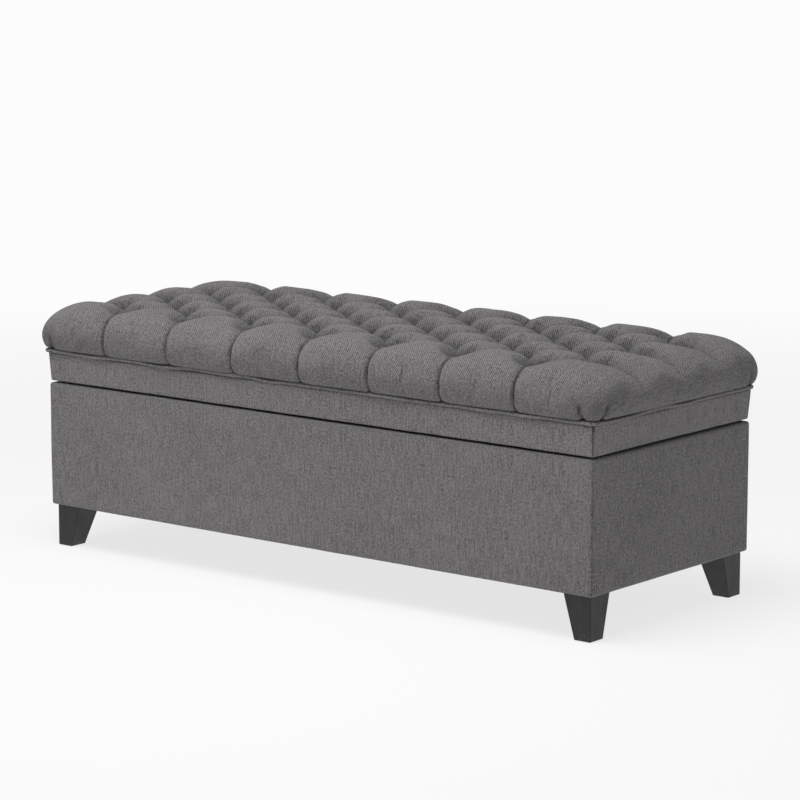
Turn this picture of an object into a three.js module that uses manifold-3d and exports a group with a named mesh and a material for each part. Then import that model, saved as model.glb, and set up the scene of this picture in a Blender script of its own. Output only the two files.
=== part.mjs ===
// An upholstered storage bench: a panel box on four tapered legs, closed by a hinged lid with a
// diamond-tufted seat. Two folding stays join the lid to the box. Millimetres, +Z up, X along the
// bench, front towards -Y. The origin lies on the floor under the middle of the bench.
import * as THREE from "three";
import { ConvexGeometry } from "three/addons/geometries/ConvexGeometry.js";
import { mergeVertices } from "three/addons/utils/BufferGeometryUtils.js";
import Module from "manifold-3d";

const wasm = await Module();
wasm.setup();

// Driving dimensions.
const BENCH_LENGTH = 1256; // over the box's cover
const BENCH_DEPTH = 474;
const LEG_HEIGHT = 80; // floor to the underside of the box
const BOX_TOP = 314; // the rim that the lid rests above
const LID_GAP = 4; // holds the hinge leaves
const LID_BAND_TOP = 371.2;
const CUSHION_TOP = 470;
const CUSHION_BULGE = 22; // how far the seat stands out past the box, each side
const COVER = 4; // fabric over thin foam
const FOLD = 1.8; // a cover's turned-in edge, with no foam
const FOLD_WIDTH = 22; // how far a cover is turned in over the rim, and under the box
const PANEL = 15;
const GAP = 0.3; // clearance between pieces that touch

const LID_BOTTOM = BOX_TOP + LID_GAP;
const BOX = {
  x: BENCH_LENGTH / 2 - COVER, // half sizes of the wooden box
  y: BENCH_DEPTH / 2 - COVER,
  low: LEG_HEIGHT + FOLD + 0.2,
  high: BOX_TOP - FOLD - 0.2,
};
const WELL = { x: BOX.x - PANEL, y: BOX.y - PANEL };
const FLOOR_BOARD = { low: 110, thick: 9 };
const LINER = 1;
const LID_FRAME = { x: BOX.x - 2, y: BOX.y - 2, low: LID_BOTTOM + 2 + GAP, high: 366, rail: 34 };
const LID_BOARD = { low: 366.3, high: 378.7 };
const WELT_PROUD = 6.5; // how far the welt stands out past the box, each side
const BAND_INSET = 1.8; // the lid's band is drawn in at its foot
const BAND_FLARE = 3.5; // and stands out at its top

const LEG = { top: 57, footX: 34, footY: 38, inset: 7.5, chamfer: 1.5, glide: 1, glideRadius: 11 };
const BOLT = { radius: 4, low: 45, high: 104 };

const HINGE = {
  places: { left: -440, middle: 0, right: 440 },
  y: BENCH_DEPTH / 2 + 5, // the pin's axis stands just behind the box
  z: BOX_TOP + LID_GAP / 2,
  length: 70,
  knuckles: 5,
  barrel: 4.5,
  pin: 2,
  leaf: 1.5,
  leafReach: 37, // from the axis to the leaf's front edge
};

// Each stay is a parallelogram: its long arm is as long as the line from the hinge to the lid's stud,
// and its short arm as long as the line from the hinge to the box's stud.
const STAY = {
  toBox: { y: -45, z: -85 }, // from the hinge axis to the box's stud
  toLid: { y: -190, z: -15 }, // from the hinge axis to the lid's stud
  arm: 2.5, // thickness
  halfWidth: 8,
  stud: 3,
  studHole: 3.35,
  head: 5.5,
  headThick: 1.2,
  plate: 2,
  skin: 0.6, // side clearance between neighbours on a stud
};

const material = (color, roughness, metalness = 0) =>
  new THREE.MeshStandardMaterial({ color, roughness, metalness });
const fabric = material(0x6d6a6b, 0.95);
const liningCloth = material(0x17171a, 0.95);
const plywood = material(0xb99a6c, 0.8);
const pine = material(0xc9a878, 0.8);
const darkWood = material(0x2b2829, 0.45);
const steel = material(0x9a9b9d, 0.4, 1);
const plastic = material(0x1d1d1f, 0.6);

// ---- Solids ----

// A three.js geometry as a manifold-3d solid.
function solid(geometry) {
  const bare = geometry.clone();
  bare.deleteAttribute("normal");
  bare.deleteAttribute("uv");
  const merged = mergeVertices(bare, 1e-3);
  return new wasm.Manifold(
    new wasm.Mesh({
      numProp: 3,
      vertProperties: merged.attributes.position.array,
      triVerts: new Uint32Array(merged.index.array),
    }),
  );
}

// A manifold-3d solid as a three.js geometry.
function geometryOf(made) {
  const { vertProperties, triVerts } = made.getMesh();
  const geometry = new THREE.BufferGeometry();
  geometry.setAttribute("position", new THREE.BufferAttribute(new Float32Array(vertProperties), 3));
  geometry.setIndex(new THREE.BufferAttribute(new Uint32Array(triVerts), 1));
  geometry.computeVertexNormals();
  return geometry;
}

// A box between two corners.
function block([x0, y0, z0], [x1, y1, z1]) {
  return new THREE.BoxGeometry(x1 - x0, y1 - y0, z1 - z0).translate(
    (x0 + x1) / 2,
    (y0 + y1) / 2,
    (z0 + z1) / 2,
  );
}

// A box centred on the Z axis, from half sizes.
const centred = (x, y, low, high) => block([-x, -y, low], [x, y, high]);

// The outline of a rectangle with round corners, centred on the origin.
function roundedRectangle(halfX, halfY, radius) {
  const shape = new THREE.Shape();
  shape.moveTo(halfX, halfY - radius);
  shape.absarc(halfX - radius, halfY - radius, radius, 0, Math.PI / 2);
  shape.absarc(-halfX + radius, halfY - radius, radius, Math.PI / 2, Math.PI);
  shape.absarc(-halfX + radius, -halfY + radius, radius, Math.PI, 1.5 * Math.PI);
  shape.absarc(halfX - radius, -halfY + radius, radius, 1.5 * Math.PI, 2 * Math.PI);
  return shape;
}

// A block whose upright corners and whose upper and lower edges are rounded.
function softBlock({ x, y, low, high, corner, edge, steps = 3 }) {
  return new THREE.ExtrudeGeometry(roundedRectangle(x - edge, y - edge, corner - edge), {
    depth: high - low - 2 * edge,
    bevelThickness: edge,
    bevelSize: edge,
    bevelSegments: steps,
    curveSegments: steps + 1,
  }).translate(0, 0, low + edge);
}

// A cylinder along X.
function barX(radius, x0, x1, y, z, sides = 16) {
  return new THREE.CylinderGeometry(radius, radius, x1 - x0, sides)
    .rotateZ(Math.PI / 2)
    .translate((x0 + x1) / 2, y, z);
}

// A cylinder along Z.
function barZ(radius, low, high, sides = 16) {
  return new THREE.CylinderGeometry(radius, radius, high - low, sides)
    .rotateX(Math.PI / 2)
    .translate(0, 0, (low + high) / 2);
}

function piece(name, geometry, surface) {
  const mesh = new THREE.Mesh(geometry, surface);
  mesh.name = name;
  return mesh;
}

// ---- Coverings that go round the bench, cut at their corner seams ----

// The part of a ring that faces one side: a prism whose ends slope at 45 degrees in plan.
function sidePrism(side, halfX, halfY) {
  const reach = 60; // past the ring's outer face
  const across = side === "front" || side === "rear";
  const [length, depth] = across ? [halfX, halfY] : [halfY, halfX];
  const inner = 90;
  const seam = GAP / 2;
  const shape = new THREE.Shape([
    new THREE.Vector2(-length - reach + seam, -depth - reach),
    new THREE.Vector2(length + reach - seam, -depth - reach),
    new THREE.Vector2(length - inner - seam, -depth + inner),
    new THREE.Vector2(-length + inner + seam, -depth + inner),
  ]);
  const quarterTurns = { front: 0, right: 1, rear: 2, left: 3 }[side];
  return new THREE.ExtrudeGeometry(shape, { depth: CUSHION_TOP, bevelEnabled: false }).rotateZ(
    (quarterTurns * Math.PI) / 2,
  );
}

function fourSides(prefix, ring, halfX, halfY) {
  const group = new THREE.Group();
  for (const side of ["front", "rear", "left", "right"]) {
    const cut = ring.intersect(solid(sidePrism(side, halfX, halfY)));
    group.add(piece(`${prefix}_${side}`, geometryOf(cut), fabric));
  }
  return group;
}

// The box's cover is turned in over the rim and under the bottom edge.
function boxCovers() {
  const open = { x: BENCH_LENGTH / 2 - FOLD_WIDTH, y: BENCH_DEPTH / 2 - FOLD_WIDTH };
  const ring = solid(
    softBlock({
      x: BENCH_LENGTH / 2,
      y: BENCH_DEPTH / 2,
      low: LEG_HEIGHT,
      high: BOX_TOP,
      corner: 6,
      edge: 5,
    }),
  )
    .subtract(solid(centred(BOX.x + GAP, BOX.y + GAP, LEG_HEIGHT + FOLD, BOX_TOP - FOLD)))
    .subtract(solid(centred(open.x, open.y, 0, CUSHION_TOP)));
  return fourSides("cover", ring, BENCH_LENGTH / 2, BENCH_DEPTH / 2);
}

// The lid's band leans out a little from its foot to the welt.
function lidBands() {
  const outline = (past, z) => {
    const halfX = BENCH_LENGTH / 2 + past;
    const halfY = BENCH_DEPTH / 2 + past;
    return roundedRectangle(halfX, halfY, 6)
      .getPoints(3)
      .map((p) => new THREE.Vector3(p.x, p.y, z));
  };
  const foot = outline(-BAND_INSET, LID_BOTTOM);
  const top = outline(BAND_FLARE, LID_BAND_TOP);
  const open = { x: LID_FRAME.x - FOLD_WIDTH + COVER, y: LID_FRAME.y - FOLD_WIDTH + COVER };
  const ring = solid(new ConvexGeometry([...foot, ...top]))
    .subtract(solid(centred(LID_FRAME.x + GAP, LID_FRAME.y + GAP, LID_BOTTOM + 2, CUSHION_TOP)))
    .subtract(solid(centred(open.x, open.y, 0, CUSHION_TOP)));
  return fourSides("band", ring, BENCH_LENGTH / 2, BENCH_DEPTH / 2);
}

// ---- The box ----

function panels() {
  const { x, y, low, high } = BOX;
  const between = y - PANEL - GAP;
  const group = new THREE.Group();
  group.add(piece("front_panel", block([-x, -y, low], [x, -y + PANEL, high]), plywood));
  group.add(piece("rear_panel", block([-x, y - PANEL, low], [x, y, high]), plywood));
  for (const [side, at] of [["left", -x], ["right", x - PANEL]]) {
    const end = block([at, -between, low], [at + PANEL, between, high]);
    group.add(piece(`${side}_panel`, end, plywood));
  }
  return group;
}

function floor() {
  const { low, thick } = FLOOR_BOARD;
  const group = new THREE.Group();
  const board = centred(WELL.x - GAP, WELL.y - GAP, low, low + thick);
  group.add(piece("floor_board", board, plywood));
  const cleat = 20;
  const reach = WELL.x - 80; // stops short of the leg blocks
  for (const [name, side] of [["front_cleat", -1], ["rear_cleat", 1]]) {
    const strip = block([-reach, -cleat / 2, low - GAP - cleat], [reach, cleat / 2, low - GAP]);
    strip.translate(0, side * (WELL.y - GAP - cleat / 2), 0);
    group.add(piece(name, strip, pine));
  }
  return group;
}

// A cloth tub that hides the panels and the floor board.
function liner() {
  const low = FLOOR_BOARD.low + FLOOR_BOARD.thick + GAP;
  const outer = solid(centred(WELL.x - GAP, WELL.y - GAP, low, BOX.high - 3));
  const inner = centred(WELL.x - GAP - LINER, WELL.y - GAP - LINER, low + LINER, CUSHION_TOP);
  return piece("liner", geometryOf(outer.subtract(solid(inner))), liningCloth);
}

// The cloth stapled under the box, cut away round the legs.
function dustCover() {
  const halfX = BENCH_LENGTH / 2 - 14;
  const halfY = BENCH_DEPTH / 2 - 14;
  const notch = LEG.top + LEG.inset - 14 + 3;
  const corners = [];
  for (const [sx, sy] of [[1, 1], [-1, 1], [-1, -1], [1, -1]]) {
    const near = new THREE.Vector2(sx * halfX, sy * (halfY - notch));
    const inner = new THREE.Vector2(sx * (halfX - notch), sy * (halfY - notch));
    const far = new THREE.Vector2(sx * (halfX - notch), sy * halfY);
    corners.push(...(sx * sy > 0 ? [near, inner, far] : [far, inner, near]));
  }
  const thick = 0.8;
  const sheet = new THREE.ExtrudeGeometry(new THREE.Shape(corners), {
    depth: thick,
    bevelEnabled: false,
  });
  return piece("dust_cover", sheet.translate(0, 0, LEG_HEIGHT - GAP - thick), liningCloth);
}

// ---- Legs: upright outer faces, and inner faces that taper to the foot ----

function legGeometry() {
  const level = (halfX0, halfX1, halfY0, halfY1, z) => {
    const c = LEG.chamfer;
    return [
      [halfX0 + c, halfY0], [halfX1 - c, halfY0], [halfX1, halfY0 + c], [halfX1, halfY1 - c],
      [halfX1 - c, halfY1], [halfX0 + c, halfY1], [halfX0, halfY1 - c], [halfX0, halfY0 + c],
    ].map(([x, y]) => new THREE.Vector3(x, y, z));
  };
  const half = LEG.top / 2;
  const top = level(-half, half, -half, half, LEG_HEIGHT - GAP);
  const foot = level(half - LEG.footX, half, half - LEG.footY, half, LEG.glide + GAP);
  const hole = barZ(BOLT.radius + GAP, BOLT.low - 2, LEG_HEIGHT + 10, 12);
  return geometryOf(solid(new ConvexGeometry([...top, ...foot])).subtract(solid(hole)));
}

// One corner's leg, bolt, glide and block, built for the corner at +X and +Y and turned into place.
function corner(name, signX, signY) {
  const group = new THREE.Group();
  group.position.set(
    signX * (BENCH_LENGTH / 2 - LEG.inset - LEG.top / 2),
    signY * (BENCH_DEPTH / 2 - LEG.inset - LEG.top / 2),
    0,
  );
  const leg = piece(`leg_${name}`, legGeometry(), darkWood);
  leg.scale.set(signX, signY, 1);
  group.add(leg);

  const footCentre = [(LEG.top - LEG.footX) / 2, (LEG.top - LEG.footY) / 2];
  const glide = piece(`glide_${name}`, barZ(LEG.glideRadius, 0, LEG.glide, 20), plastic);
  glide.position.set(signX * footCentre[0], signY * footCentre[1], 0);
  group.add(glide);

  group.add(piece(`leg_bolt_${name}`, barZ(BOLT.radius, BOLT.low, BOLT.high, 12), steel));

  const toPanelX = BOX.x - PANEL - GAP - Math.abs(group.position.x);
  const toPanelY = BOX.y - PANEL - GAP - Math.abs(group.position.y);
  const size = 68;
  const timber = solid(
    block([toPanelX - size, toPanelY - size, BOX.low], [toPanelX, toPanelY, FLOOR_BOARD.low - GAP]),
  ).subtract(solid(barZ(BOLT.radius + GAP, 0, FLOOR_BOARD.low + 10, 12)));
  const legBlock = piece(`leg_block_${name}`, geometryOf(timber), pine);
  legBlock.scale.set(signX, signY, 1);
  group.add(legBlock);
  return group;
}

function corners() {
  const group = new THREE.Group();
  for (const [name, sx, sy] of [
    ["front_left", -1, -1],
    ["front_right", 1, -1],
    ["rear_left", -1, 1],
    ["rear_right", 1, 1],
  ]) {
    group.add(corner(name, sx, sy));
  }
  return group;
}

// ---- The lid ----

function lidFrame() {
  const { x, y, low, high, rail } = LID_FRAME;
  const between = y - rail - GAP;
  const group = new THREE.Group();
  group.add(piece("lid_rail_front", block([-x, -y, low], [x, -y + rail, high]), pine));
  group.add(piece("lid_rail_rear", block([-x, y - rail, low], [x, y, high]), pine));
  for (const [side, at] of [["left", -x], ["right", x - rail]]) {
    const end = block([at, -between, low], [at + rail, between, high]);
    group.add(piece(`lid_rail_${side}`, end, pine));
  }
  group.add(piece("lid_board", centred(x, y, LID_BOARD.low, LID_BOARD.high), plywood));

  const edge = FOLD_WIDTH - COVER + GAP;
  const sheet = centred(x - edge, y - edge, LID_BOTTOM + 1.2, LID_BOTTOM + 2);
  group.add(piece("lid_liner", sheet, liningCloth));
  return group;
}

function welt() {
  const ring = solid(
    softBlock({
      x: BENCH_LENGTH / 2 + WELT_PROUD,
      y: BENCH_DEPTH / 2 + WELT_PROUD,
      low: LID_BAND_TOP + GAP,
      high: LID_BOARD.high,
      corner: 10,
      edge: 3.4,
    }),
  ).subtract(solid(centred(LID_FRAME.x + GAP, LID_FRAME.y + GAP, 0, CUSHION_TOP)));
  return piece("welt", geometryOf(ring), fabric);
}

function cushion() {
  const shape = softBlock({
    x: BENCH_LENGTH / 2 + CUSHION_BULGE,
    y: BENCH_DEPTH / 2 + CUSHION_BULGE,
    low: LID_BOARD.high + GAP,
    high: CUSHION_TOP,
    corner: 52,
    edge: 34,
    steps: 5,
  });
  return piece("tufted_cushion", shape, fabric);
}

// ---- Butt hinges: the box's leaf has the odd knuckles and the lid's leaf the even ones ----

function hingeLeaf(isLid) {
  const { length, knuckles, barrel, pin, leaf, leafReach } = HINGE;
  const step = length / knuckles;
  const low = isLid ? 0.2 : -0.2 - leaf;
  let made = solid(block([-length / 2, -leafReach, low], [length / 2, 0, low + leaf]));
  for (let k = 0; k < knuckles; k += 1) {
    const x0 = -length / 2 + k * step;
    const own = (k % 2 === 1) === isLid;
    if (own) {
      made = made.add(solid(barX(barrel, x0 + GAP / 2, x0 + step - GAP / 2, 0, 0, 20)));
    } else {
      const room = barrel + GAP;
      const low2 = [x0 - GAP / 2, -room, -room];
      made = made.subtract(solid(block(low2, [x0 + step + GAP / 2, room, room])));
    }
  }
  return geometryOf(made.subtract(solid(barX(pin + GAP, -length, length, 0, 0, 16))));
}

function hingePin() {
  const { length, pin } = HINGE;
  const half = length / 2;
  const made = solid(barX(pin, -half - 2, half + 2, 0, 0))
    .add(solid(barX(pin + 1.6, half + GAP, half + 2, 0, 0)))
    .add(solid(barX(pin + 1.6, -half - 2, -half - GAP, 0, 0)));
  return geometryOf(made);
}

function hinges() {
  const group = new THREE.Group();
  for (const [place, x] of Object.entries(HINGE.places)) {
    const hinge = new THREE.Group();
    hinge.position.set(x, HINGE.y, HINGE.z);
    hinge.add(piece(`hinge_box_leaf_${place}`, hingeLeaf(false), steel));
    hinge.add(piece(`hinge_lid_leaf_${place}`, hingeLeaf(true), steel));
    hinge.add(piece(`hinge_pin_${place}`, hingePin(), steel));
    group.add(hinge);
  }
  return group;
}

// ---- Folding stays, drawn for the right end and mirrored for the left ----

// Where each layer of a stay lies, outwards along X.
const LAYERS = (() => {
  const { plate, arm, skin, headThick } = STAY;
  const wall = WELL.x - GAP - LINER - GAP;
  const boxPlate = [wall - plate, wall];
  const longArm = [boxPlate[0] - 1 - arm, boxPlate[0] - 1];
  const shortArm = [longArm[0] - skin - arm, longArm[0] - skin];
  const lidTab = [shortArm[0] - skin - plate, shortArm[0] - skin];
  return { boxPlate, longArm, shortArm, lidTab, headThick };
})();

const STUDS = (() => {
  const box = new THREE.Vector2(HINGE.y + STAY.toBox.y, HINGE.z + STAY.toBox.z);
  const lid = new THREE.Vector2(HINGE.y + STAY.toLid.y, HINGE.z + STAY.toLid.z);
  const elbow = new THREE.Vector2(lid.x + STAY.toBox.y, lid.y + STAY.toBox.z);
  return { box, lid, elbow };
})();

// A flat arm with round ends between two studs, with a hole at each.
function arm(from, to, [x0, x1]) {
  const along = new THREE.Vector2().subVectors(to, from);
  const length = along.length();
  const shape = new THREE.Shape();
  shape.absarc(0, 0, STAY.halfWidth, Math.PI / 2, 1.5 * Math.PI);
  shape.absarc(length, 0, STAY.halfWidth, -Math.PI / 2, Math.PI / 2);
  for (const at of [0, length]) {
    shape.holes.push(new THREE.Path().absarc(at, 0, STAY.studHole, 0, 2 * Math.PI, true));
  }
  // Drawn in X and Y, then stood up in the Y and Z plane.
  return new THREE.ExtrudeGeometry(shape, { depth: x1 - x0, bevelEnabled: false, curveSegments: 10 })
    .rotateZ(along.angle())
    .applyMatrix4(
      new THREE.Matrix4().makeBasis(
        new THREE.Vector3(0, 1, 0),
        new THREE.Vector3(0, 0, 1),
        new THREE.Vector3(1, 0, 0),
      ),
    )
    .translate(x0, from.x, from.y);
}

// A stud along X with a head at its inner end.
function stud(at, inner, outer) {
  const { stud: radius, head, headThick } = STAY;
  return solid(barX(radius, inner, outer, at.x, at.y)).add(
    solid(barX(head, inner - headThick, inner, at.x, at.y)),
  );
}

function boxBracket() {
  const [x0, x1] = LAYERS.boxPlate;
  const { x: y, y: z } = STUDS.box;
  const plate = solid(block([x0, y - 17, z - 30], [x1, y + 17, z + 22]));
  return geometryOf(plate.add(stud(STUDS.box, LAYERS.longArm[0] - GAP, x0 + 1)));
}

function lidBracket() {
  const [x0, x1] = LAYERS.lidTab;
  const { x: y, y: z } = STUDS.lid;
  const under = LID_BOTTOM + 1.2 - GAP;
  const tab = solid(block([x0, y - 9, z - 9], [x1, y + 9, under]));
  const flange = solid(block([x0 - 16, y - 26, under - STAY.plate], [x1, y + 26, under]));
  const pivot = solid(barX(STAY.stud, x0 + 1, LAYERS.shortArm[1] + GAP, y, z));
  const outer = LAYERS.shortArm[1] + GAP;
  const head = solid(barX(STAY.head, outer, outer + STAY.headThick, y, z));
  return geometryOf(tab.add(flange).add(pivot).add(head));
}

function elbowRivet() {
  const { x: y, y: z } = STUDS.elbow;
  const inner = LAYERS.shortArm[0] - GAP;
  const outer = LAYERS.longArm[1] + 0.2;
  const made = stud(STUDS.elbow, inner, outer);
  return geometryOf(made.add(solid(barX(STAY.head, outer, outer + 0.6, y, z))));
}

function stays() {
  const group = new THREE.Group();
  for (const [side, mirror] of [["left", -1], ["right", 1]]) {
    const stay = new THREE.Group();
    stay.scale.x = mirror;
    const { box, lid, elbow } = STUDS;
    stay.add(piece(`stay_box_bracket_${side}`, boxBracket(), steel));
    stay.add(piece(`stay_lid_bracket_${side}`, lidBracket(), steel));
    stay.add(piece(`stay_long_arm_${side}`, arm(box, elbow, LAYERS.longArm), steel));
    stay.add(piece(`stay_short_arm_${side}`, arm(elbow, lid, LAYERS.shortArm), steel));
    stay.add(piece(`stay_elbow_rivet_${side}`, elbowRivet(), steel));
    group.add(stay);
  }
  return group;
}

const bench = new THREE.Group();
bench.add(
  panels(),
  floor(),
  liner(),
  dustCover(),
  corners(),
  boxCovers(),
  lidFrame(),
  lidBands(),
  welt(),
  cushion(),
  hinges(),
  stays(),
);

export default bench;
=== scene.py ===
"""Looks of the upholstered storage bench: tufted seat, sewn covers, welt, legs, lining and hardware."""

import math

import bmesh
import bpy
import numpy as np
from mathutils import Matrix, Vector, noise


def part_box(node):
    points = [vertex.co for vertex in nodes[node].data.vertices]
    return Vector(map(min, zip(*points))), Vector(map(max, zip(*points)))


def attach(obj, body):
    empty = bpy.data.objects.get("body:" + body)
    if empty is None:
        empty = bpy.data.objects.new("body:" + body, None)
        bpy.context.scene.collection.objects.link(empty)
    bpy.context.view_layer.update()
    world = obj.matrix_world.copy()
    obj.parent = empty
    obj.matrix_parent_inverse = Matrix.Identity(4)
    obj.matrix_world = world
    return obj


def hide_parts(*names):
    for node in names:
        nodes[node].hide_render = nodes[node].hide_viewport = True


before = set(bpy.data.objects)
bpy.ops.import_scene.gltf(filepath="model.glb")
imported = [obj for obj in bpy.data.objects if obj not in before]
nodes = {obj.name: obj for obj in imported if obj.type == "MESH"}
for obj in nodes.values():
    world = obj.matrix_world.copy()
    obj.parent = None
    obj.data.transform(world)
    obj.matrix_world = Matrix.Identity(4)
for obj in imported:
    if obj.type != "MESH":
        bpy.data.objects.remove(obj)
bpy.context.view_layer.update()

# ---- Sizes, in metres ----

SEAT_LOW, SEAT_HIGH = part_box("tufted_cushion")
SEAT_HIGH = SEAT_HIGH - Vector((0.0035, 0.0025, 0))  # the cloth swells to full size
BOX_HALF = (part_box("cover_right")[1].x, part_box("cover_rear")[1].y)
BOX_LOW, BOX_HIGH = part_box("cover_right")[0].z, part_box("cover_right")[1].z
BAND_LOW, BAND_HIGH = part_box("band_right")[0].z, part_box("band_right")[1].z
WELT_LOW, WELT_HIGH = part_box("welt")[0].z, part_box("welt")[1].z

TUFT_SPACING = 0.158  # between the tufts of one row
ROW_SPACING = 0.0605  # between rows
ODD_ROWS, EVEN_ROWS = (-3, -1, 1, 3), (-2, 0, 2)  # rows of seven and of eight tufts

SHOULDER = 0.066  # how far the seat's rounded edge reaches in from its side
CREST = 0.4645  # height of the puffs
BELLY = 0.407  # height where the side stands out most
SEAM = SEAT_LOW.z - 0.0006  # height of the seam at the seat's lower edge
TUCK = 0.0150  # how far the side is drawn in, down to the welt
END_DROP = 0.007  # how much lower the puffs are at the bench's ends
DROP_FROM, DROP_OVER = 0.49, 0.13  # from the middle to where they start to drop, and over what length
UNDERSIDE_RIM = 0.06

TUFT_DEPTH = 0.044
TUFT_REACH = 0.054  # how far from a tuft the cloth is drawn down
CREASE_DEPTH = 0.0185  # midway between two tufts
CREASE_WIDTH = 0.036
FOLD_WIDTH = 0.0021  # of a sewn pleat's fold, and of the painted shade line along it
DART_WIDTH = 0.0045  # of the short darts at each lower corner
PUCKERS = 11  # small folds round each tuft

CELLS = 14  # of the seat's mesh between two neighbouring rows or columns of tufts
EDGE_CELLS = 11  # along each half of the rounded edge
TUCK_CELLS = 9  # under the belly

COVER_CORNER = 0.0025  # radius of the box's upright corners
CORNER_STEPS = 8
STATION = 0.009  # between the stations round a cover
YARN = 0.0011  # thickness of the cloth's yarns
CLOTH_THICK = 0.0012
LINING_THICK = 0.0008
WELT_RADIUS = 0.0039
WELT_OUT = 0.0048  # of the cord's centre, past the box's side
STAPLE_INSET = 0.006  # from a sheet's edge
LEG_NOTCH = 0.056  # cut out of the dust cover's corners
PAINTED_FLOOR_SHADE_FROM, PAINTED_FLOOR_SHADE_TO = 1.1, 3.6  # where the floor's painted shade, a dimmer glow near the bench, fades out


# ---- Node helpers ----

def add(tree, kind, inputs=None, **settings):
    node = tree.nodes.new("ShaderNode" + kind)
    for name, value in settings.items():
        setattr(node, name, value)
    for name, value in (inputs or {}).items():
        if isinstance(value, bpy.types.NodeSocket):
            tree.links.new(value, node.inputs[name])
        else:
            node.inputs[name].default_value = value
    return node


def maths(tree, operation, *values, clamp=False):
    return add(tree, "Math", dict(enumerate(values)), operation=operation, use_clamp=clamp).outputs[0]


def mix(tree, factor, low, high, blend="MIX"):
    inputs = {"Factor": factor, 6: low, 7: high}
    return add(tree, "Mix", inputs, data_type="RGBA", blend_type=blend).outputs[2]


def remap(tree, value, low, high, to_low=0.0, to_high=1.0):
    inputs = {"Value": value, 1: low, 2: high, 3: to_low, 4: to_high}
    return add(tree, "MapRange", inputs).outputs[0]


def stretched(tree, place, sizes):
    """The place divided by a size along each axis, so a texture's grains have those sizes."""
    factors = [1 / size for size in sizes]
    return add(tree, "VectorMath", {0: place, 1: factors}, operation="MULTIPLY").outputs[0]


def grains(tree, place, sizes, detail=2.0, roughness=0.5):
    inputs = {"Vector": stretched(tree, place, sizes), "Scale": 1.0, "Detail": detail, "Roughness": roughness}
    return add(tree, "TexNoise", inputs).outputs[0]


def new_group(name, inputs, outputs):
    """A shader node group with named sockets. Gives the tree, its input sockets and its output node."""
    tree = bpy.data.node_groups.new(name, "ShaderNodeTree")
    for label, kind, value in inputs:
        socket = tree.interface.new_socket(label, in_out="INPUT", socket_type="NodeSocket" + kind)
        if value is not None:
            socket.default_value = value
    for label, kind in outputs:
        tree.interface.new_socket(label, in_out="OUTPUT", socket_type="NodeSocket" + kind)
    start = tree.nodes.new("NodeGroupInput")
    end = tree.nodes.new("NodeGroupOutput")
    return tree, start.outputs, end.inputs


def new_material(name):
    material = bpy.data.materials.new(name)
    material.use_nodes = True
    tree = material.node_tree
    tree.nodes.clear()
    shader = add(tree, "BsdfPrincipled")
    output = add(tree, "OutputMaterial")
    tree.links.new(shader.outputs[0], output.inputs[0])
    return material, tree, shader


def bumped(tree, shader, height, distance, strength=1.0):
    bump = add(tree, "Bump", {"Height": height, "Distance": distance, "Strength": strength})
    tree.links.new(bump.outputs[0], shader.inputs["Normal"])


# ---- Surfaces ----

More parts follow.
